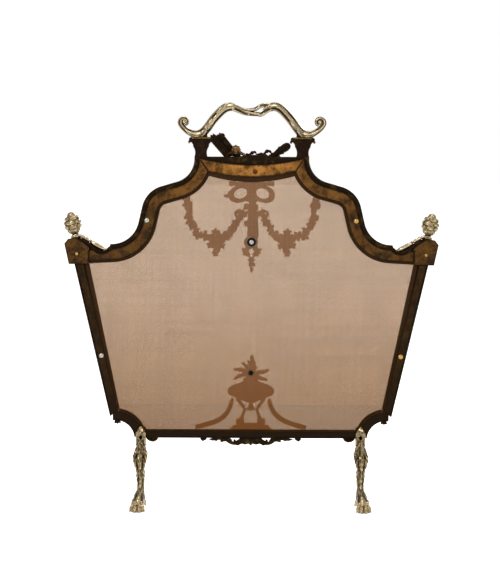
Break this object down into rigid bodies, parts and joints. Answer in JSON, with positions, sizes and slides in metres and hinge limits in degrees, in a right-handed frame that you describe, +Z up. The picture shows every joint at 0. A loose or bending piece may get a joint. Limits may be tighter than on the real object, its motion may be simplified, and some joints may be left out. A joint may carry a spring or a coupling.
{
  "type": "fireplace screen",
  "caption": "Louis XVI style brass fire screen: fine wire gauze in a shaped cast frame with a carrying handle, pine-cone finials, garlands and claw feet.",
  "frame": {"origin": "on the floor, under the middle of the gauze", "axes": "+Z up, +X to the right of someone facing the ornamented front, -Y towards that person"},
  "size_m": [0.677, 0.1438, 0.7398],
  "materials": {
    "cast_gilt": "cast, aged gilding",
    "strip_brown": "brown patina",
    "polished_gilt": "burnished, dark recesses",
    "block_gilt": "cast, aged gilding",
    "ornament_gilt": "cast, aged gilding",
    "leg_gilt": "cast, aged gilding",
    "gauze": "woven wire, dull",
    "screw_metal": "aged"
  },
  "bodies": {
    "root": {"front_crest": "cast_gilt", "front_bottom": "cast_gilt", "front_shoulder_left": "cast_gilt", "front_shoulder_right": "cast_gilt", "front_side_left": "cast_gilt", "front_side_right": "cast_gilt", "front_corner_left": "cast_gilt", "front_corner_right": "cast_gilt", "back_strip_crest": "strip_brown", "back_strip_bottom": "strip_brown", "back_strip_shoulder_left": "strip_brown", "back_strip_shoulder_right": "strip_brown", "back_strip_side_left": "strip_brown", "back_strip_side_right": "strip_brown", "back_strip_corner_left": "strip_brown", "back_strip_corner_right": "strip_brown", "block_plate_left": "strip_brown", "block_plate_right": "strip_brown", "handle": "polished_gilt", "finial_left": "polished_gilt", "finial_right": "polished_gilt", "block_leaf_left": "polished_gilt", "block_leaf_right": "polished_gilt", "pedestal_left": "polished_gilt", "pedestal_right": "polished_gilt", "quiver": "polished_gilt", "sheath": "polished_gilt", "torch": "polished_gilt", "trophy_rosette": "polished_gilt", "ribbon_knot": "polished_gilt", "corner_block_left": "block_gilt", "corner_block_right": "block_gilt", "block_rosette_left": "block_gilt", "block_rosette_right": "block_gilt", "ribbon_bow": "ornament_gilt", "centre_drop": "ornament_gilt", "festoon_left": "ornament_gilt", "festoon_right": "ornament_gilt", "brazier": "ornament_gilt", "brazier_flames": "ornament_gilt", "brazier_drape_left": "ornament_gilt", "brazier_drape_right": "ornament_gilt", "apron": "ornament_gilt", "rail_buds_left": "ornament_gilt", "rail_buds_right": "ornament_gilt", "corner_leaf_left": "ornament_gilt", "corner_leaf_right": "ornament_gilt", "rear_leg_left": "leg_gilt", "rear_leg_right": "leg_gilt", "front_leg_left": "leg_gilt", "front_leg_right": "leg_gilt", "gauze_panel": "gauze", "strip_screws": "screw_metal", "block_screws": "screw_metal", "leg_screws": "screw_metal", "gauze_screws": "screw_metal", "gauze_washers": "screw_metal"}
  },
  "joints": []
}
